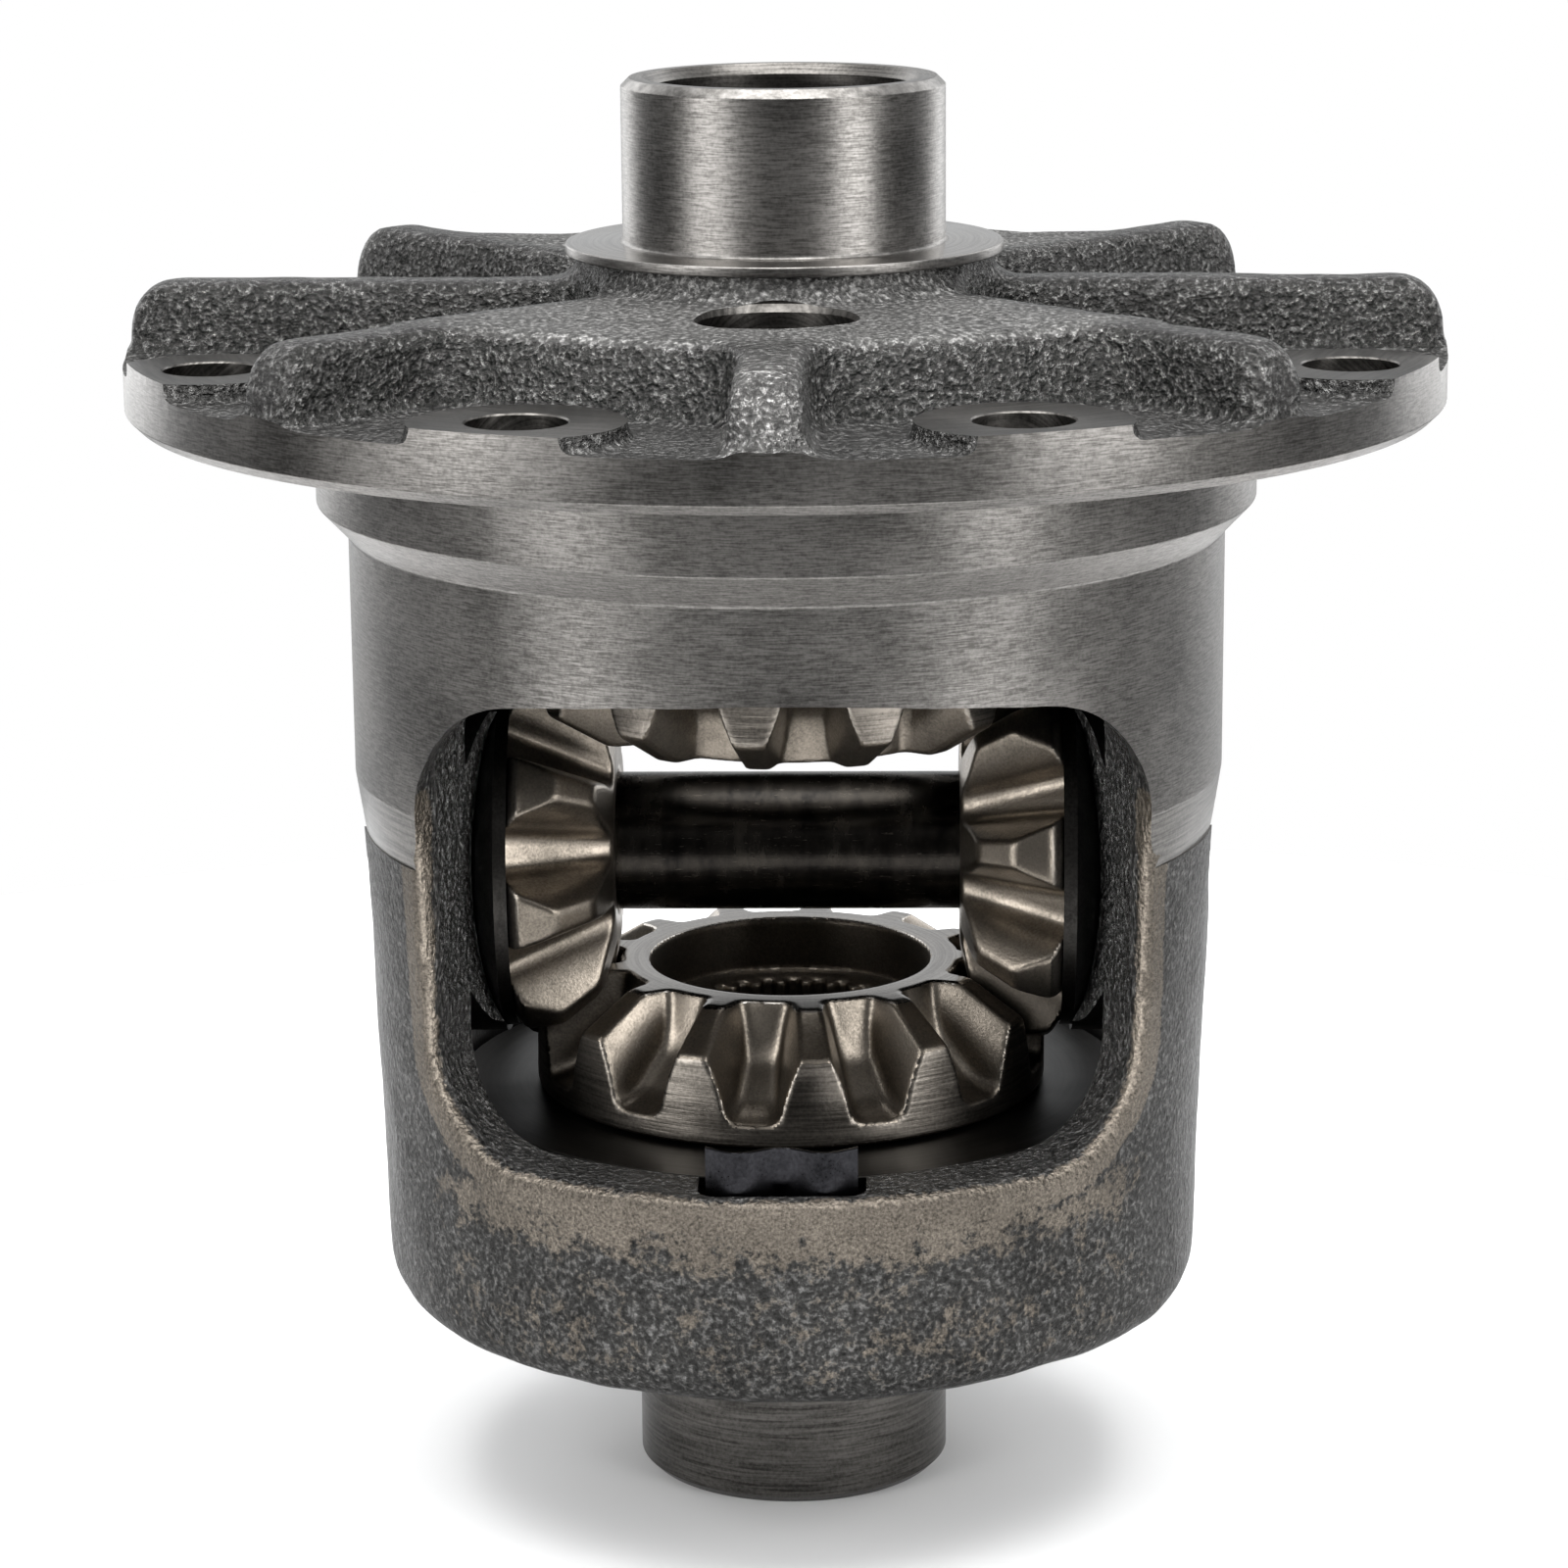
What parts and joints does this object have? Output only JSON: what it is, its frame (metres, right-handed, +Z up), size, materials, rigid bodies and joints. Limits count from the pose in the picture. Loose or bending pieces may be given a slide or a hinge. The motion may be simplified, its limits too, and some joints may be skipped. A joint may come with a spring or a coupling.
{
  "type": "differential gear assembly",
  "caption": "Windowed cast differential case with a ribbed ring gear flange and bearing journals; bevel side gears, pinions on a cross shaft and clutch packs turn inside.",
  "frame": {"origin": "on the axle line at the end of the lower bearing journal, the centre of the object's base", "axes": "+Z up the axle line towards the flange end, +X along the cross shaft, -Y out of the front window"},
  "size_m": [0.1688, 0.1688, 0.1854],
  "materials": {
    "cast_case": "machined and as-cast iron",
    "gear_steel": "dark forged steel, satin",
    "shaft_steel": "black polished steel",
    "plate_steel": "ground steel",
    "friction_lining": "lined steel",
    "spring_steel": "blackened spring steel"
  },
  "bodies": {
    "case_body": {"case": "cast_case", "cross_shaft": "shaft_steel", "shaft_lock_pin": "spring_steel", "pinion_washer_left": "plate_steel", "pinion_washer_right": "plate_steel", "steel_plate_upper_1": "plate_steel", "steel_plate_upper_2": "plate_steel", "steel_plate_upper_3": "plate_steel", "steel_plate_upper_4": "plate_steel", "dished_spring_upper": "spring_steel", "ear_guide_upper_back": "spring_steel", "ear_guide_upper_front": "spring_steel", "steel_plate_lower_1": "plate_steel", "steel_plate_lower_2": "plate_steel", "steel_plate_lower_3": "plate_steel", "steel_plate_lower_4": "plate_steel", "dished_spring_lower": "spring_steel", "ear_guide_lower_back": "spring_steel", "ear_guide_lower_front": "spring_steel"},
    "side_gear_lower_body": {"side_gear_lower": "gear_steel", "friction_disc_lower_1": "friction_lining", "friction_disc_lower_2": "friction_lining", "friction_disc_lower_3": "friction_lining"},
    "side_gear_upper_body": {"side_gear_upper": "gear_steel", "friction_disc_upper_1": "friction_lining", "friction_disc_upper_2": "friction_lining", "friction_disc_upper_3": "friction_lining"},
    "pinion_right_body": {"pinion_right": "gear_steel"},
    "pinion_left_body": {"pinion_left": "gear_steel"}
  },
  "joints": [
    {"name": "side_gear_lower_spin", "type": "hinge", "parent": "case_body", "child": "side_gear_lower_body", "pos_m": [0, 0, 0.0853], "axis": [0, 0, 1], "continuous": true},
    {"name": "side_gear_upper_spin", "type": "hinge", "parent": "case_body", "child": "side_gear_upper_body", "pos_m": [0, 0, 0.0853], "axis": [0, 0, 1], "continuous": true},
    {"name": "pinion_right_spin", "type": "hinge", "parent": "case_body", "child": "pinion_right_body", "pos_m": [0, 0, 0.0853], "axis": [1, 0, 0], "continuous": true},
    {"name": "pinion_left_spin", "type": "hinge", "parent": "case_body", "child": "pinion_left_body", "pos_m": [0, 0, 0.0853], "axis": [1, 0, 0], "continuous": true}
  ],
  "couplings": [
    {"joint": "side_gear_upper_spin", "follows": "side_gear_lower_spin", "ratio": -1},
    {"joint": "pinion_right_spin", "follows": "side_gear_lower_spin", "ratio": 1.4444},
    {"joint": "pinion_left_spin", "follows": "side_gear_lower_spin", "ratio": -1.4444}
  ]
}
